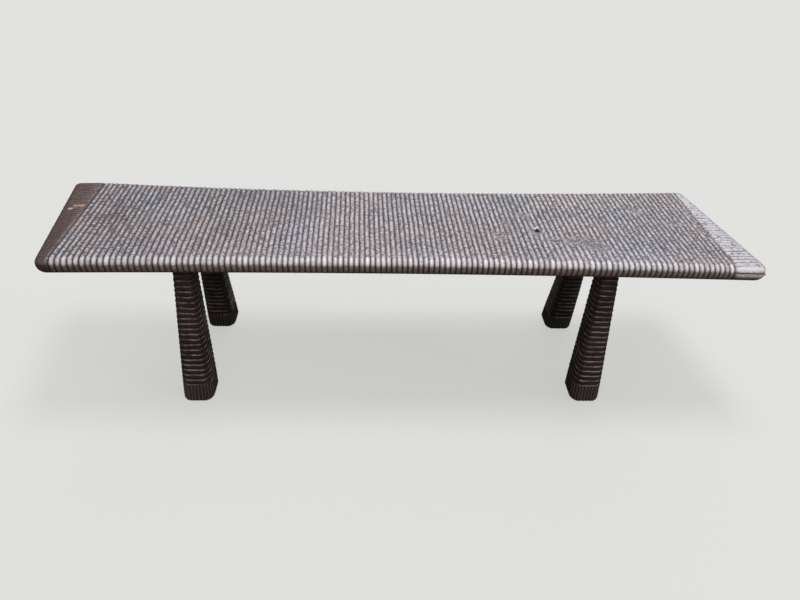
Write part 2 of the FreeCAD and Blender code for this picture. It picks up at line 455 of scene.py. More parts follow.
# Painted shade darkens the lower steps of the rim, beginning higher up on the right border.
under_shade = np.where(is_right, np.interp(level, (1.5, 3.5), (0, 0.85)),
                       np.interp(level, (3, 5), (0, 0.6)))
# Painted highlights: along the front arris, varying from rib to rib and fainter to the left, and along
# the right border's front edge.
arris_highlight = np.interp(front_row, (1, 3, 6, 9), (0, 1, 1, 0)) * (level == 0)
arris_highlight_play = 0.6 + 0.9 * wander(np.column_stack([number * 0.73, 0 * share, 0 * share]), 1, 10)
arris_highlight_play = np.clip(arris_highlight_play, 0.45, 1) * np.interp(smooth[:, 0], (-0.75, -0.15), (0.85, 1))
right_edge_highlight = np.interp(front_row, (2, 3, 5, 6), (0, 1, 1, 0)) * (level == 0) * is_right
arris_highlight = np.where(in_field, arris_highlight * crest ** 1.2 * arris_highlight_play, 0.7 * right_edge_highlight)
# Painted light on the ribs below the arris: a lighter brown on their crests, dimmer towards the left
# end, and on the right border a pale highlight near its top.
rib_light_share = np.interp(smooth[:, 0], (-0.75, -0.45), (0.55, 1))
field_rib = np.interp(np.maximum(level, 1), (1, 3, 4.5), (1, 0.8, 0)) * crest ** 2 * rib_light_share
border_rib = np.interp(level, (0, 1, 2, 3), (0.9, 0.8, 0.2, 0.05)) * is_right
rib = np.where(in_field, field_rib, border_rib) * (front_row < 5)
paint(plank, "hollow", np.maximum(hollow, under_shade))
# Towards its back and the field, and between its lines, the left border takes a little of the painted
# sheen and loses some of its red.
back_sheen = np.clip((smooth[:, 1] + 0.02) / 0.14, 0, 1) * np.clip(1 - border_step / 11, 0, 1)
paint(plank, "left_border", is_left * (1 - 0.16 * back_sheen - 0.07 * (1 - left_lines)))
paint(plank, "right_border", is_right * 1.0)
paint(plank, "border_count", counted)
paint(plank, "border_lined", is_right * on_flat * quiet_back * near_corner)
paint(plank, "fresh_wood", np.maximum(chip, speck))
paint(plank, "rubbed_and_highlight", np.maximum(speck, arris_highlight))
paint(plank, "lit_brown_rib", rib)
paint(plank, "dulled", faded * in_field)

# Four blind mortises are bored in the underside, along the axes of the splayed legs.
mounts = {mount["name"]: Vector(mount["pos_m"]) for mount in frame["record"]["mounts"]}
leg_splay = Vector((0.034, 0.0575))
tenon_radius = 0.014
tenon_length = 0.02559
tenon_clearance = 0.0002
tenon_end_gap = 0.0005
mortise_radius = tenon_radius + tenon_clearance
mortise_depth = tenon_length + tenon_end_gap
mortise_sides = 48
tiny = 0.00001
ends = {"front": -1, "back": 1}
sides = {"left": -1, "right": 1}
leg_corners = [(end_name, side_name) for end_name in ends for side_name in sides]


def leg_place(end_name, side_name):
    """The frame of a leg: origin at its foot, Z up its axis, Y across the plank's grain."""
    foot = mounts["foot_" + end_name + "_" + side_name]
    inner = Vector((-sides[side_name] * leg_splay.x, -ends[end_name] * leg_splay.y, plank_low.z))
    up = inner.normalized()
    along = Vector((0, 1, 0)).cross(up).normalized()
    across = up.cross(along)
    turned = Matrix((along, across, up)).transposed()
    return Matrix.Translation(foot) @ turned.to_4x4(), inner.length


def slide_to(points, chosen, up, height):
    """Slide some points along a leg's axis until they lie at one height."""
    points[chosen] -= np.outer((points[chosen, 2] - height) / up.z, up)


def choose(piece, kind, wanted):
    """In edit mode, select only the faces or edges of a piece that the test wants."""
    bpy.ops.mesh.select_mode(type=kind)
    bpy.ops.mesh.select_all(action="DESELECT")
    bpy.ops.object.mode_set(mode="OBJECT")
    items = piece.data.polygons if kind == "FACE" else piece.data.edges
    for item in items:
        item.select = wanted(item)
    bpy.ops.object.mode_set(mode="EDIT")


start_fresh(plank)
bpy.ops.object.mode_set(mode="EDIT")
bpy.ops.mesh.select_mode(type="VERT")
for end_name, side_name in leg_corners:
    place, leg_length = leg_place(end_name, side_name)
    head = place @ Vector((0, 0, leg_length))
    up = place.to_3x3() @ Vector((0, 0, 1))
    bpy.ops.mesh.select_all(action="DESELECT")
    bpy.ops.mesh.primitive_circle_add(vertices=mortise_sides, radius=mortise_radius, location=head,
                                      rotation=place.to_euler())
    bpy.ops.mesh.extrude_edges_move(TRANSFORM_OT_translate={"value": up * mortise_depth})
    bpy.ops.mesh.edge_face_add()
bpy.ops.object.mode_set(mode="OBJECT")

# The mortises' mouths lie in the underside, which then closes round them.
blank_size = len(tray)
points = mesh_points(plank)
for end_name, side_name in leg_corners:
    place, leg_length = leg_place(end_name, side_name)
    up = place.to_3x3() @ Vector((0, 0, 1))
    head = place @ Vector((0, 0, leg_length))
    near = np.arange(len(points)) >= blank_size
    near &= np.linalg.norm(points - np.array(head), axis=1) < mortise_radius * 1.01
    slide_to(points, near, up, plank_low.z)
put_points(plank, points)
bpy.ops.object.mode_set(mode="EDIT")
lowest = points[:, 2] < plank_low.z + tiny
choose(plank, "EDGE", lambda edge: lowest[edge.vertices[0]] and lowest[edge.vertices[1]])
bpy.ops.mesh.fill(use_beauty=False)
bpy.ops.mesh.select_all(action="SELECT")
bpy.ops.mesh.normals_make_consistent(inside=False)
bpy.ops.object.mode_set(mode="OBJECT")
bpy.ops.object.shade_smooth_by_angle(angle=math.radians(60))
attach(plank, "root")
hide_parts("seat_plank")


class Recipe:
    """One node tree, with short ways to add and join its nodes."""

    def __init__(self, tree):
        self.tree = tree

    def fill(self, socket, value):
        """Join another node's output to a socket, or set the socket's value."""
        if isinstance(value, bpy.types.NodeSocket):
            self.tree.links.new(value, socket)
        else:
            socket.default_value = value

    def add(self, kind, *values, **settings):
        """Add a node with these settings, and fill its sockets in their order."""
        node = self.tree.nodes.new("ShaderNode" + kind)
        for name, setting in settings.items():
            setattr(node, name, setting)
        for socket, value in zip(node.inputs, values):
            self.fill(socket, value)
        return node

    def math(self, operation, *values):
        return self.add("Math", *values, operation=operation).outputs[0]

    def product(self, share, *others):
        """Multiply a share with others, one after another."""
        for other in others:
            share = self.math("MULTIPLY", share, other)
        return share

    def span(self, value, low, high, low_to=0.0, high_to=1.0):
        """Spread the range from low to high of a value over another range."""
        return self.add("MapRange", value, low, high, low_to, high_to).outputs[0]

    def blend(self, share, first, second):
        """Mix two colours, all of the second where the share is 1."""
        node = self.add("Mix", share, data_type="RGBA")
        self.fill(node.inputs[6], first)
        self.fill(node.inputs[7], second)
        return node.outputs[2]

    def noise(self, vector, scale, detail=2.0, roughness=0.5):
        node = self.add("TexNoise", vector)
        for name, value in (("Scale", scale), ("Detail", detail), ("Roughness", roughness)):
            self.fill(node.inputs[name], value)
        return node.outputs[0]

    def stretch(self, vector, shares):
        return self.add("VectorMath", vector, shares, operation="MULTIPLY").outputs[0]

    def distance(self, vector, spot):
        return self.add("VectorMath", vector, spot, operation="DISTANCE").outputs["Value"]

    def bump(self, height, distance, strength, normal=None):
        node = self.add("Bump")
        for name, value in (("Height", height), ("Distance", distance), ("Strength", strength)):
            self.fill(node.inputs[name], value)
        if normal:
            self.fill(node.inputs["Normal"], normal)
        return node.outputs[0]

    def attribute(self, name):
        return self.add("Attribute", attribute_name=name).outputs["Fac"]

    def upward(self):
        """How far a surface faces up, from 1 to -1."""
        return self.add("SeparateXYZ", self.add("NewGeometry").outputs["Normal"]).outputs["Z"]


def new_group(name, inputs, outputs):
    """An empty shader node group with named sockets, and its input and output nodes."""
    tree = bpy.data.node_groups.new(name, "ShaderNodeTree")
    for socket_name, kind, start in inputs:
        socket = tree.interface.new_socket(socket_name, in_out="INPUT", socket_type=kind)
        if start is not None:
            socket.default_value = start
    for socket_name, kind in outputs:
        tree.interface.new_socket(socket_name, in_out="OUTPUT", socket_type=kind)
    return tree, tree.nodes.new("NodeGroupInput"), tree.nodes.new("NodeGroupOutput")


def place_group(recipe, tree, **values):
    """Use a node group in a material, with this material's own values."""
    node = recipe.add("Group", node_tree=tree)
    for name, value in values.items():
        recipe.fill(node.inputs[name.replace("_", " ")], value)
    return node


# Stained wood, used by every piece: fibres and pores that follow the grain, and the
# marks that a gouge leaves across each cut.
stained_wood, given, made = new_group(
    "stained_wood",
    (("Place", "NodeSocketVector", None), ("Grain", "NodeSocketVector", (1, 1, 1)),
     ("Dark", "NodeSocketColor", (0.02, 0.01, 0.01, 1)),
     ("Warm", "NodeSocketColor", (0.05, 0.03, 0.02, 1)),
     ("Hollow", "NodeSocketFloat", 0.0)),
    (("Color", "NodeSocketColor"), ("Fibres", "NodeSocketFloat"), ("Marks", "NodeSocketFloat")))
wood = Recipe(stained_wood)
grain_place = wood.stretch(given.outputs["Place"], given.outputs["Grain"])
fibres = wood.noise(grain_place, 90.0, 4.0, 0.6)
streaks = wood.noise(grain_place, 14.0, 3.0, 0.55)
blotches = wood.noise(given.outputs["Place"], 9.0, 2.0, 0.5)
marks = wood.noise(given.outputs["Place"], 330.0, 2.0, 0.55)
warmth = wood.math("ADD", wood.span(streaks, 0.38, 0.62), wood.span(blotches, 0.35, 0.65, -0.4, 0.5))
shade = wood.blend(warmth, given.outputs["Dark"], given.outputs["Warm"])
shade = wood.blend(wood.span(fibres, 0.45, 0.62, 0.0, 0.45), shade, given.outputs["Dark"])
# Hollows darken towards soot: partly dirt, partly painted shade in the grooves, the cuts and under the
# edge.
soot_and_shade_color = (0.008, 0.006, 0.005, 1)
shade = wood.blend(wood.span(given.outputs["Hollow"], 0.45, 1.0, 0.0, 0.8), shade, soot_and_shade_color)
wood.fill(made.inputs["Color"], shade)
wood.fill(made.inputs["Fibres"], fibres)
wood.fill(made.inputs["Marks"], marks)

# Wax bloom and painted sheen: a greyed, lavender bloom that years of wiping leave on crests that face
# up, painted bright enough to stand for their sheen as well.
wax_bloom_and_sheen, given, made = new_group(
    "wax_bloom_and_sheen",
    (("Place", "NodeSocketVector", None), ("Hollow", "NodeSocketFloat", 0.0),
     ("Facing Up", "NodeSocketFloat", 1.0)),
    (("Bloom And Sheen", "NodeSocketFloat"), ("Tint", "NodeSocketColor")))
wax = Recipe(wax_bloom_and_sheen)
patches = wax.noise(given.outputs["Place"], 7.0, 3.0, 0.6)
speckle = wax.noise(given.outputs["Place"], 170.0, 3.0, 0.7)
crest_share = wax.span(given.outputs["Hollow"], 0.0, 0.82, 1.0, 0.0)
bloom_and_sheen = wax.product(
    crest_share,
    wax.span(given.outputs["Facing Up"], 0.35, 0.72),
    wax.span(patches, 0.3, 0.7, 0.68, 1.0),
    wax.span(speckle, 0.38, 0.60, 0.12, 1.5))
tone = wax.noise(wax.stretch(given.outputs["Place"], (1.0, 1.7, 1.0)), 5.0, 3.0, 0.55)
lavender = (0.525, 0.53, 0.63, 1)
rosy_grey = (0.61, 0.56, 0.59, 1)
tint = wax.blend(wax.span(tone, 0.38, 0.62), lavender, rosy_grey)
wax.fill(made.inputs["Bloom And Sheen"], bloom_and_sheen)
wax.fill(made.inputs["Tint"], tint)


def new_material(name):
    """A material, the recipe that fills its tree, its Principled shader and its object's place."""
    material = bpy.data.materials.new(name)
    material.use_nodes = True
    material.node_tree.nodes.clear()
    recipe = Recipe(material.node_tree)
    shader = recipe.add("BsdfPrincipled")
    recipe.add("OutputMaterial", shader.outputs[0])
    return material, recipe, shader, recipe.add("TexCoord").outputs["Object"]


def dress(piece, material):
    """Give a piece this material alone."""
    piece.data.materials.clear()
    piece.data.materials.append(material)


dark_stain = (0.045, 0.032, 0.028, 1)
warm_stain = (0.115, 0.070, 0.056, 1)
left_border_stain = (0.075, 0.032, 0.025, 1)
lit_brown_rib_color = (0.40, 0.30, 0.26, 1)
rib_highlight_color = (0.95, 0.88, 0.86, 1)
right_border_sheen = (0.66, 0.65, 0.71, 1)
rubbed_and_highlight_color = (0.88, 0.86, 0.90, 1)
fresh_wood_color = (0.52, 0.33, 0.26, 1)
knot_rim_highlight_color = (0.80, 0.78, 0.82, 1)
knot_hole_shade_color = (0.004, 0.003, 0.003, 1)
border_cut_color = (0.15, 0.14, 0.17, 1)
edge_cut_shade_color = (0.010, 0.008, 0.008, 1)
edge_cut_shade_half = 0.0013

plank_material, stain, shader, place = new_material("plank_wood_waxed")
hollow = stain.attribute("hollow")
left = stain.attribute("left_border")
right = stain.attribute("right_border")
board = place_group(stain, stained_wood, Place=place, Grain=(0.12, 1.0, 1.0), Hollow=hollow,
                    Dark=dark_stain, Warm=warm_stain)
bloom_and_sheen = place_group(stain, wax_bloom_and_sheen, Place=place, Hollow=hollow, Facing_Up=stain.upward())

# Bare wood, redder on the left border, shows where neither wax bloom nor painted sheen lies. Its ribs
# at the front edge are painted a lighter brown, partly as light on their crests.
pits = stain.span(stain.noise(place, 230.0, 3.0, 0.6), 0.44, 0.54, 1.0, 0.1)
pits = stain.product(stain.attribute("dulled"), pits)
# The bloom with its painted sheen is faint on the left border and in dulled pits, and doubled on the
# right border.
bloom_and_sheen_share = stain.product(
    bloom_and_sheen.outputs["Bloom And Sheen"],
    stain.span(left, 0.0, 1.0, 1.0, 0.06),
    stain.span(pits, 0.0, 0.8, 1.0, 0.15),
    stain.span(right, 0.0, 1.0, 1.0, 2.0))
bloom_and_sheen_share = stain.math("MINIMUM", bloom_and_sheen_share, 1.0)
rib_marks = stain.span(board.outputs["Marks"], 0.35, 0.6, 0.4, 1.0)
bare = stain.blend(stain.product(left, 0.7), board.outputs["Color"], left_border_stain)
# Lit ribs are painted a lighter brown in the field and pale on the right border.
ribbed = stain.blend(right, lit_brown_rib_color, rib_highlight_color)
bare = stain.blend(stain.product(stain.attribute("lit_brown_rib"), rib_marks), bare, ribbed)
# The right border's bloom takes a pale lavender, a painted sheen.
pale = stain.blend(stain.span(right, 0.0, 1.0, 0.0, 0.7), bloom_and_sheen.outputs["Tint"], right_border_sheen)
color = stain.blend(bloom_and_sheen_share, bare, pale)
# The painted arris highlight and the rubbed speck take a pale colour.
rubbed_and_highlight = stain.attribute("rubbed_and_highlight")
color = stain.blend(stain.span(rubbed_and_highlight, 0.1, 0.9, 0.0, 0.9), color, rubbed_and_highlight_color)
ragged = stain.noise(stain.stretch(place, (1.0, 1.9, 1.0)), 130.0, 2.0, 0.6)
fresh = stain.product(stain.attribute("fresh_wood"), stain.span(ragged, 0.42, 0.58, 0.2, 1.1))
color = stain.blend(stain.span(fresh, 0.35, 0.7, 0.0, 0.85), color, fresh_wood_color)

# The knot hole is painted black all the way down, and without gloss, as its shade, with a bright
# crescent on its rim's upper left painted as a highlight.
hole_squash = (1.0, 0.8, 0.25)
hole_middle = (knot_hole[0], knot_hole[1], plank_high.z)
squashed_middle = [middle * squash for middle, squash in zip(hole_middle, hole_squash)]
from_hole = stain.distance(stain.stretch(place, hole_squash), squashed_middle)
split = stain.add("SeparateXYZ", place)
rim = stain.product(
    stain.span(from_hole, knot_radius * 1.25, knot_radius * 1.7, 0.85, 0.0),
    stain.span(split.outputs["Y"], knot_hole[1] + 0.0005, knot_hole[1] + 0.004),
    stain.span(split.outputs["X"], knot_hole[0], knot_hole[0] + 0.005, 1.0, 0.0))
color = stain.blend(rim, color, knot_rim_highlight_color)
hole_shade = stain.math("ADD", from_hole, stain.span(ragged, 0.3, 0.7, -0.0008, 0.0008))
hole_shade = stain.span(hole_shade, knot_radius * 0.95, knot_radius * 1.15, 0.98, 0.0)
color = stain.blend(hole_shade, color, knot_hole_shade_color)

# Dark lines lie in the cuts of the right border. A black line, painted as the shade of a shallow cut,
# runs along its front edge.
line_spread = stain.math("PINGPONG", stain.attribute("border_count"), 0.5)
line_noise = stain.noise(stain.stretch(place, (0.35, 1.6, 1.0)), 70.0, 2.0, 0.5)
lines = stain.product(
    stain.span(line_spread, 0.06, 0.19, 1.0, 0.0),
    stain.attribute("border_lined"),
    stain.span(line_noise, 0.35, 0.6, 0.35, 0.95))
color = stain.blend(lines, color, border_cut_color)
line_height = plank_high.z - edge_round * (1 - math.sin(edge_cut_turn))
off_line = stain.math("ABSOLUTE", stain.math("SUBTRACT", split.outputs["Z"], line_height))
edge_cut_shade = stain.product(
    stain.span(off_line, edge_cut_shade_half * 0.6, edge_cut_shade_half * 1.4, 0.95, 0.0),
    stain.span(split.outputs["Y"], -0.12, -0.10, 1.0, 0.0),
    stain.span(right, 0.3, 0.7))
color = stain.blend(edge_cut_shade, color, edge_cut_shade_color)
stain.fill(shader.inputs["Base Color"], color)

# Crests, the rubbed speck and the painted arris highlight are glossier than hollows, and the gouge's
# marks break up the shine.
gloss = stain.span(hollow, 0.0, 0.8, 0.38, 0.72)
gloss = stain.math("SUBTRACT", gloss, stain.product(rubbed_and_highlight, 0.14))
gloss = stain.math("ADD", gloss, stain.span(board.outputs["Marks"], 0.3, 0.7, -0.06, 0.10))
stain.fill(shader.inputs["Roughness"], stain.math("MAXIMUM", gloss, hole_shade))
shader.inputs["IOR"].default_value = 1.56
stain.fill(shader.inputs["Coat Weight"], stain.span(hole_shade, 0.0, 1.0, 0.45, 0.0))
shader.inputs["Coat Roughness"].default_value = 0.32
relief = stain.bump(board.outputs["Marks"], 0.0016, 0.8)
stain.fill(shader.inputs["Normal"], stain.bump(board.outputs["Fibres"], 0.0004, 0.5, relief))
dress(plank, plank_material)


# Legs: four posts of the same dark hardwood, square with round corners and shaped by hand.
# Each has two dozen rings cut like shingles, a band of upright flutes at the foot, and a
# round tenon with a saw kerf at the top that is wedged into the plank's mortise.
leg_head_half = 0.0225
leg_foot_half = 0.041
leg_corner_share = 0.6
kerf_depth = 0.021
kerf_back = 0.005
kerf_tip = 0.002
wedge_length = 0.018
leg_sides = 128
coarse_rows = 10
fine_rows = 22
same_height = 0.0001

start_fresh()
bpy.ops.mesh.primitive_cone_add(vertices=leg_sides, radius1=leg_foot_half, radius2=leg_head_half,
                                depth=leg_length, end_fill_type="NOTHING",
                                location=(0, 0, leg_length / 2))
blank = bpy.context.object
bpy.ops.object.transform_apply(location=True, rotation=True, scale=True)


def runs_up(piece):
    """A test for the edges of a piece that run along its axis."""
    heights = mesh_points(piece)[:, 2]
    return lambda edge: abs(heights[edge.vertices[0]] - heights[edge.vertices[1]]) > same_height


def rim_at(piece, level):
    """A test for the edges of a piece that lie at one height."""
    heights = mesh_points(piece)[:, 2]
    return lambda edge: all(abs(heights[point] - level) < same_height for point in edge.vertices)


for steps in (coarse_rows, fine_rows):
    bpy.ops.object.mode_set(mode="EDIT")
    choose(blank, "EDGE", runs_up(blank))
    bpy.ops.mesh.subdivide(number_cuts=steps - 1)
    bpy.ops.object.mode_set(mode="OBJECT")
bpy.ops.object.mode_set(mode="EDIT")
choose(blank, "EDGE", rim_at(blank, 0))
bpy.ops.mesh.edge_face_add()
choose(blank, "EDGE", rim_at(blank, leg_length))
bpy.ops.mesh.edge_face_add()
choose(blank, "FACE", lambda face: face.normal.z > 0.9 and face.center.z > leg_length / 2)
bpy.ops.mesh.inset(thickness=leg_head_half - tenon_radius)
bpy.ops.mesh.extrude_region_move(TRANSFORM_OT_translate={"value": (0, 0, tenon_length)})
bpy.ops.mesh.select_all(action="SELECT")
bpy.ops.mesh.normals_make_consistent(inside=False)
bpy.ops.object.mode_set(mode="OBJECT")

# The kerf is sawn with a blade of the wedge's own taper.
tenon_top = leg_length + tenon_length
start_fresh()
bpy.ops.mesh.primitive_cube_add(size=1, location=(0, 0, tenon_top))
blade = bpy.context.object
bpy.ops.transform.resize(value=(kerf_back, 4 * tenon_radius, 2 * kerf_depth))
bpy.ops.object.transform_apply(location=True, rotation=True, scale=True)
bpy.ops.object.mode_set(mode="EDIT")
bpy.ops.mesh.bisect(plane_co=(0, 0, tenon_top), plane_no=(0, 0, 1))
bpy.ops.mesh.select_all(action="SELECT")
bpy.ops.mesh.bisect(plane_co=(0, 0, tenon_top - wedge_length), plane_no=(0, 0, 1))
bpy.ops.object.mode_set(mode="OBJECT")
points = mesh_points(blade)
points[points[:, 2] < tenon_top - wedge_length / 2, 0] *= kerf_tip / kerf_back
put_points(blade, points)
start_fresh(blank)
sawn = blank.modifiers.new("kerf", "BOOLEAN")
sawn.operation = "DIFFERENCE"
sawn.solver = "EXACT"
sawn.object = blade
bpy.ops.object.modifier_apply(modifier="kerf")
bpy.data.objects.remove(blade)

# Heights of the rows from the floor up: the rounded foot edge, the flutes, then the rings.
# Each ring widens upwards from a deep cut to its lip, and ends in a ledge that faces up.
# A ring's rows lie at these shares of its height, with these shares of the cut and of the painted
# highlight on its lip.
foot_edge_radius = 0.005
foot_rows = 6
flute_rows = 20
flute_height = 0.059
flute_depth = 0.0024
flute_columns = 4
flute_wander = 0.35
ring_count = 24
ring_taper = 0.09
ring_depth = 0.0024
ring_shares = (0, 0.10, 0.27, 0.46, 0.64, 0.79, 0.88, 0.945)
ring_cuts = (1, 0.74, 0.44, 0.2, 0.06, 0, 0.12, 0.6)
ring_highlights = (0, 0, 0, 0, 0, 0.2, 1, 0.3)
ring_drift = 0.0012
ledge_rows = 2
facet_count = 12
facet_depth = 0.0007
scallop_drop = 0.0009
stroke_play = 0.0007
corner_highlight_share = 0.05
top_highlight_share = 0.4
flute_rib_highlight_share = 0.6
foot_draw = 0.0012
skin_play = 0.0004
head_calm_reach = 0.03
head_fade_reach = 0.004
plank_shade_heights = (0.24, 0.40)

leg_rows = coarse_rows * fine_rows
band_rows = foot_rows + flute_rows
foot_turn = np.arange(foot_rows) / foot_rows * math.pi / 2
ledge_place = np.array(ring_shares[-ledge_rows:]) - 1
ring_place = (np.arange(ring_count)[:, None] + ring_shares).ravel()
ring_place = np.concatenate([ledge_place, ring_place, [ring_count]])
ring_span = plank_low.z - flute_height
ring_run = ring_place / ring_count
ring_heights = flute_height + ring_span * (ring_run + ring_taper * ring_run * (1 - ring_run))
flute_heights = np.linspace(foot_edge_radius, ring_heights[0], flute_rows, endpoint=False)
row_heights = np.concatenate([foot_edge_radius * (1 - np.cos(foot_turn)), flute_heights, ring_heights])
row_place = np.concatenate([np.full(band_rows, -1.0), ring_place])
row_cut, row_highlight = [
    np.concatenate([np.zeros(band_rows), each[-ledge_rows:], np.tile(each, ring_count), last])
    for each, last in ((ring_cuts, [1]), (ring_highlights, [0]))]
foot_drawn = foot_edge_radius * (1 - np.sin(foot_turn))
row_drawn = np.concatenate([foot_drawn, np.zeros(leg_rows + 1 - foot_rows)])


def round_square(turn_share):
    """A square of half width 1 with round corners: its points and outward directions."""
    flat = 1 - leg_corner_share
    side_run = 2 * flat + leg_corner_share * math.pi / 2
    run = turn_share * 4 * side_run
    quarter = np.round(run / side_run)
    offset = run - quarter * side_run
    turn = np.sign(offset) * np.clip(np.abs(offset) - flat, 0, None) / leg_corner_share
    out = np.column_stack([np.cos(turn), np.sin(turn)])
    spot = np.column_stack([np.full(len(run), flat), np.clip(offset, -flat, flat)])
    spot = spot + leg_corner_share * out
    cosine, sine = np.cos(quarter * math.pi / 2), np.sin(quarter * math.pi / 2)
    turned = []
    for pair in (spot, out):
        turned.append(np.column_stack([pair[:, 0] * cosine - pair[:, 1] * sine,
                                       pair[:, 0] * sine + pair[:, 1] * cosine]))
    return turned


def carve_leg(piece, place, seed):
    """Shape one leg square and level between floor and plank, then cut its rings and flutes."""
    chance = np.random.default_rng(seed)
    points = mesh_points(piece)
    up = place.to_3x3() @ Vector((0, 0, 1))
    foot = np.array(place.translation)
    head = np.array(place @ Vector((0, 0, leg_length)))
    skin = points[:, 2] < leg_length + tiny
    skin &= np.hypot(points[:, 0], points[:, 1]) > (tenon_radius + leg_head_half) / 2
    stem = np.array([place @ Vector(point) for point in points])
    shoulder = ~skin & (points[:, 2] < leg_length + tiny)
    slide_to(stem, shoulder, up, plank_low.z)

    around = np.arctan2(points[:, 1], points[:, 0]) / (2 * math.pi) % 1
    column = np.rint(around * leg_sides).astype(int) % leg_sides
    row = np.clip(np.rint(points[:, 2] / leg_length * leg_rows).astype(int), 0, leg_rows)
    base = row_heights[row]
    on_band = row < band_rows
    ring = np.clip(np.floor(row_place[row]), 0, ring_count - 1).astype(int)
    passed = np.clip(row_place[row] - ring, 0, 1)

    circle = np.column_stack([np.cos(around * 2 * math.pi), np.sin(around * 2 * math.pi), base / 0.05])
    drift = wander(circle * 0.9, 1, seed)
    facet_play = chance.uniform(-0.2, 0.2, ring_count + 1)
    facet = around * facet_count + facet_play[ring] * (1 - passed) + facet_play[ring + 1] * passed
    stroke = np.floor(facet).astype(int) % facet_count
    bow = 1 - (2 * (facet - np.floor(facet)) - 1) ** 2
    lifts = chance.uniform(-1, 1, (ring_count + 1, facet_count)) * stroke_play
    weights = chance.uniform(0.7, 1.15, (ring_count + 1, facet_count))
    lift, weight = [each[ring, stroke] * (1 - passed) + each[ring + 1, stroke] * passed
                    for each in (lifts, weights)]
    loose_heights = (0.6 * flute_height, flute_height, plank_low.z - head_calm_reach, plank_low.z)
    loose = np.interp(base, loose_heights, (0, 1, 1, 0))
    height = base + loose * (lift + ring_drift * drift - scallop_drop * bow)

    weave = wander(np.column_stack([circle[:, :2] * 2.2, base / 0.03]), 1, seed + 1)
    turn_share = (column + flute_wander * weave * on_band) / leg_sides
    spot, out = round_square(turn_share)
    rib = np.abs((column % flute_columns) / flute_columns - 0.5) * 2
    flute_cut = flute_depth * rib * on_band * np.interp(base, (0, foot_edge_radius), (0.5, 1))
    chips = skin_play * (0.5 + wander(np.column_stack([circle[:, :2] * 3.4, base * 190]), 1, seed + 2))
    half = leg_foot_half + (leg_head_half - leg_foot_half) * height / plank_low.z
    half -= foot_draw * np.clip(1 - base / flute_height, 0, 1)
    fade = np.interp(base, (plank_low.z - head_fade_reach, plank_low.z), (1, 0))
    cut = ring_depth * weight * row_cut[row] + facet_depth * bow * (0.3 + 0.7 * loose)
    cut = np.clip(cut + chips + flute_cut, 0, None) * fade + row_drawn[row]
    middle = foot + (head - foot) * (height / plank_low.z)[:, None]
    shaped = np.column_stack([middle[:, :2] + spot * half[:, None] - out * cut[:, None], height])
    put_points(piece, np.where(skin[:, None], shaped, stem))
    # Hollows of the rings and flutes are painted dark, partly as shade. Each ring's lip and each
    # flute's rib gets a painted highlight, faint on the round corners and fading near the top, where
    # the plank's shade falls.
    glint = wander(np.column_stack([circle[:, :2] * 1.8, base / 0.012]), 1, seed + 3)
    hollow = np.where(on_band, rib ** 0.6 * 1.2, row_cut[row] * (1 + 0.4 * glint))
    paint(piece, "hollow", np.where(skin, hollow, 0) * fade)
    flatness = np.interp(np.abs(out).max(axis=1), (0.80, 0.98), (corner_highlight_share, 1))
    plank_shade = np.interp(base, plank_shade_heights, (1, top_highlight_share))
    lip_highlight = row_highlight[row] * np.clip(0.65 + 1.1 * glint, 0.08, 1) * flatness * plank_shade
    flute_rib_highlight = on_band * (1 - rib) * flute_rib_highlight_share
    paint(piece, "lip_highlight", np.where(skin, lip_highlight + flute_rib_highlight, 0) * fade)


leg_dark_stain = (0.023, 0.013, 0.012, 1)
leg_warm_stain = (0.060, 0.036, 0.032, 1)
lip_highlight_color = (0.62, 0.52, 0.50, 1)

leg_material, stain, shader, place = new_material("leg_wood_waxed")
hollow = stain.attribute("hollow")
post = place_group(stain, stained_wood, Place=place, Grain=(1.0, 1.0, 0.12), Hollow=hollow,
                   Dark=leg_dark_stain, Warm=leg_warm_stain)
bloom_and_sheen = place_group(stain, wax_bloom_and_sheen, Place=place, Facing_Up=stain.upward())
# The painted highlight on the lips is brightest where the bloom with its painted sheen lies.
lip_highlight = stain.product(stain.attribute("lip_highlight"), stain.span(bloom_and_sheen.outputs["Bloom And Sheen"], 0.0, 0.7, 0.25, 0.8))
stain.fill(shader.inputs["Base Color"], stain.blend(lip_highlight, post.outputs["Color"], lip_highlight_color))
stain.fill(shader.inputs["Roughness"], stain.span(hollow, 0.0, 0.8, 0.42, 0.7))
shader.inputs["IOR"].default_value = 1.42
shader.inputs["Coat Weight"].default_value = 0.08
shader.inputs["Coat Roughness"].default_value = 0.35
relief = stain.bump(post.outputs["Marks"], 0.0010, 0.35)
stain.fill(shader.inputs["Normal"], stain.bump(post.outputs["Fibres"], 0.0004, 0.4, relief))

for end_name, side_name in leg_corners:
    corner_name = end_name + "_" + side_name
    place, leg_length = leg_place(end_name, side_name)
    start_fresh(blank)
    bpy.ops.object.duplicate(linked=False)
    leg = bpy.context.object
    leg.name = "carved_leg_" + corner_name
    leg.data.name = leg.name
    carve_leg(leg, place, 11 + 5 * ends[end_name] + 2 * sides[side_name])
    bpy.ops.object.shade_smooth_by_angle(angle=math.radians(50))
    dress(leg, leg_material)
    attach(leg, "root")
    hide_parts("leg_" + corner_name)
bpy.data.objects.remove(blank)


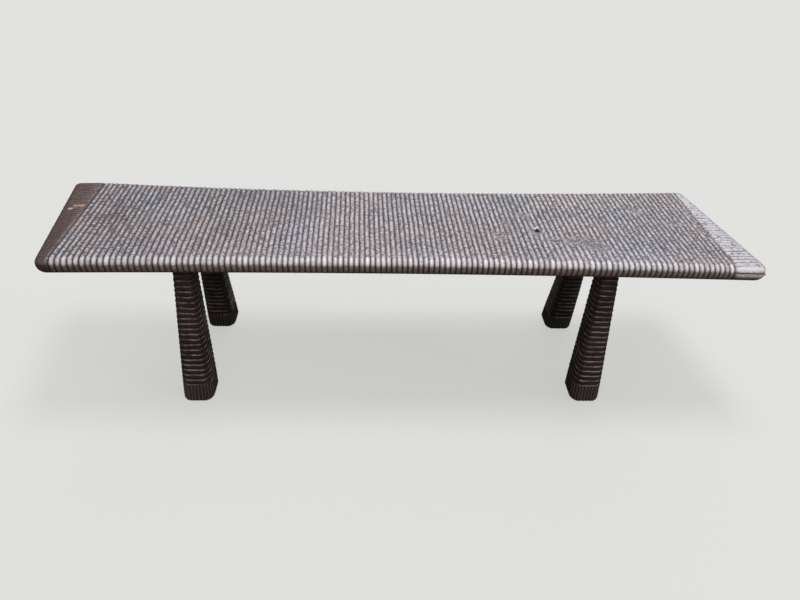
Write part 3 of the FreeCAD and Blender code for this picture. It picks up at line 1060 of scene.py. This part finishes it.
# Wedges: four slips of plain pale hardwood, sealed inside the joints. Each spreads its
# tenon as the mortise's floor drives it home, with its grain along its length.
wedge_dark_wood = (0.26, 0.16, 0.09, 1)
wedge_pale_wood = (0.48, 0.33, 0.20, 1)
wedge_material, stain, shader, place = new_material("wedge_wood_plain")
slip = place_group(stain, stained_wood, Place=place, Grain=(1.0, 1.0, 0.12),
                   Dark=wedge_dark_wood, Warm=wedge_pale_wood)
stain.fill(shader.inputs["Base Color"], slip.outputs["Color"])
stain.fill(shader.inputs["Roughness"], stain.span(slip.outputs["Fibres"], 0.3, 0.7, 0.6, 0.8))
stain.fill(shader.inputs["Normal"], stain.bump(slip.outputs["Fibres"], 0.0003, 0.5))
for node_name, node in frame["nodes"].items():
    if node_name.startswith("wedge_"):
        dress(node, wedge_material)


# Floor: a plain pale studio sheet. Seen by the camera it keeps its own pale colour,
# with only part of the shade that falls on it. To the bench it is a darker sheet.
floor_size = 14.0
floor_color = (0.769, 0.769, 0.752, 1)
floor_shaded = (0.940, 0.940, 0.918, 1)
floor_dim = (0.12, 0.115, 0.11, 1)
shade_share = 0.34
key_place = Vector((0.17, 0.15, 2.35))
key_share = 0.54
start_fresh()
bpy.ops.mesh.primitive_plane_add(size=floor_size, location=(0, 1.5, 0))
floor = bpy.context.object
floor.name = "studio_floor"
bpy.ops.object.transform_apply(location=True, rotation=True, scale=True)
floor_material, paper, shader, place = new_material("studio_floor_paper")
by_camera = paper.add("LightPath").outputs["Is Camera Ray"]
paper.fill(shader.inputs["Base Color"], paper.blend(by_camera, floor_dim, floor_shaded))
shader.inputs["Roughness"].default_value = 0.9
shader.inputs["Specular IOR Level"].default_value = 0

# Away from the lamp overhead the sheet glows a little more, so that it looks evenly pale.
reach = paper.distance(place, (key_place.x, key_place.y, 0))
reach = paper.math("POWER", paper.math("DIVIDE", reach, key_place.z), 2.0)
lit = paper.math("POWER", paper.math("ADD", reach, 1.0), -2.0)
far_glow = 1 + key_share * shade_share / (1 - shade_share)
glow = paper.add("Emission", floor_color, paper.span(lit, 0.0, 1.0, far_glow, 1.0))
glow_share = paper.product(by_camera, 1 - shade_share)
mixed = paper.add("MixShader", glow_share, shader.outputs[0], glow.outputs[0])
paper.fill(paper.tree.get_output_node("ALL").inputs["Surface"], mixed.outputs[0])
dress(floor, floor_material)


# Light: soft lamps, as in a studio. A near one hangs overhead, and its shade on the floor is
# wider than the bench. Weak wide ones fill in from above, behind, the right and the front.
def hang_lamp(name, kind, strength, color):
    """A lamp of one kind, and the object that holds it."""
    lamp = bpy.data.lights.new(name, kind)
    lamp.energy = strength
    lamp.color = color
    holder = bpy.data.objects.new(name, lamp)
    scene.collection.objects.link(holder)
    return lamp, holder


def soft_lamp(name, toward, strength, spread, color):
    """A distant lamp that shines from the given direction, softened over an angle."""
    lamp, holder = hang_lamp(name, "SUN", strength, color)
    lamp.angle = math.radians(spread)
    holder.rotation_euler = Vector(toward).to_track_quat("Z", "Y").to_euler()
    return holder


key_power = 24.0
key_width = 0.65
key_lamp, key_holder = hang_lamp("overhead_lamp", "AREA", key_power, (1.0, 0.985, 0.985))
key_lamp.shape = "DISK"
key_lamp.size = key_width
key_holder.location = key_place
soft_lamp("ceiling_lamp", (0.05, -0.05, 1.0), 0.3, 80, (1.0, 0.99, 1.0))
soft_lamp("back_lamp", (0.30, 1.0, 0.72), 0.4, 50, (0.95, 0.97, 1.0))
soft_lamp("right_lamp", (0.85, -0.15, 0.55), 0.2, 20, (1.0, 0.97, 0.95))
front_holder = soft_lamp("front_lamp", (0.12, -1.0, 1.15), 0.9, 30, (1.0, 0.98, 0.97))

# The front lamp lights the bench alone, so that the floor shows the overhead lamp's shade.
# The surround shines weakly on the bench, and as pale as the floor at the camera.
bench_pieces = bpy.data.collections.new("bench_pieces")
for piece in scene.objects:
    if piece.name.startswith("carved_"):
        bench_pieces.objects.link(piece)
front_holder.light_linking.receiver_collection = bench_pieces
surround = bpy.data.worlds.new("studio_surround")
scene.world = surround
surround.use_nodes = True
sky = Recipe(surround.node_tree)
backdrop = surround.node_tree.nodes["Background"]
backdrop.inputs["Color"].default_value = (0.755, 0.755, 0.75, 1)
by_camera = sky.add("LightPath").outputs["Is Camera Ray"]
sky.fill(backdrop.inputs["Strength"], sky.span(by_camera, 0.0, 1.0, 0.2, 1.0))


# Camera: a wide lens above and in front of the bench, turned a little to its right and
# rolled a little, so that the bench lies in the frame as in the photograph.
camera_place = (-0.0599, -0.9637, 1.0938)
camera_pitch = math.radians(42.675)
camera_yaw = math.radians(3.219)
camera_roll = math.radians(2.714)
lens_length = 22.645
lens_shift = 0.0092
lens = bpy.data.cameras.new("camera")
lens.lens = lens_length
lens.sensor_width = 36
lens.shift_x = lens_shift
camera = bpy.data.objects.new("camera", lens)
scene.collection.objects.link(camera)
heading = Matrix.Rotation(-camera_yaw, 4, "Z") @ Matrix.Rotation(math.pi / 2 - camera_pitch, 4, "X")
camera.matrix_world = Matrix.Translation(camera_place) @ heading @ Matrix.Rotation(camera_roll, 4, "Z")
scene.camera = camera
scene.view_settings.view_transform = "Standard"
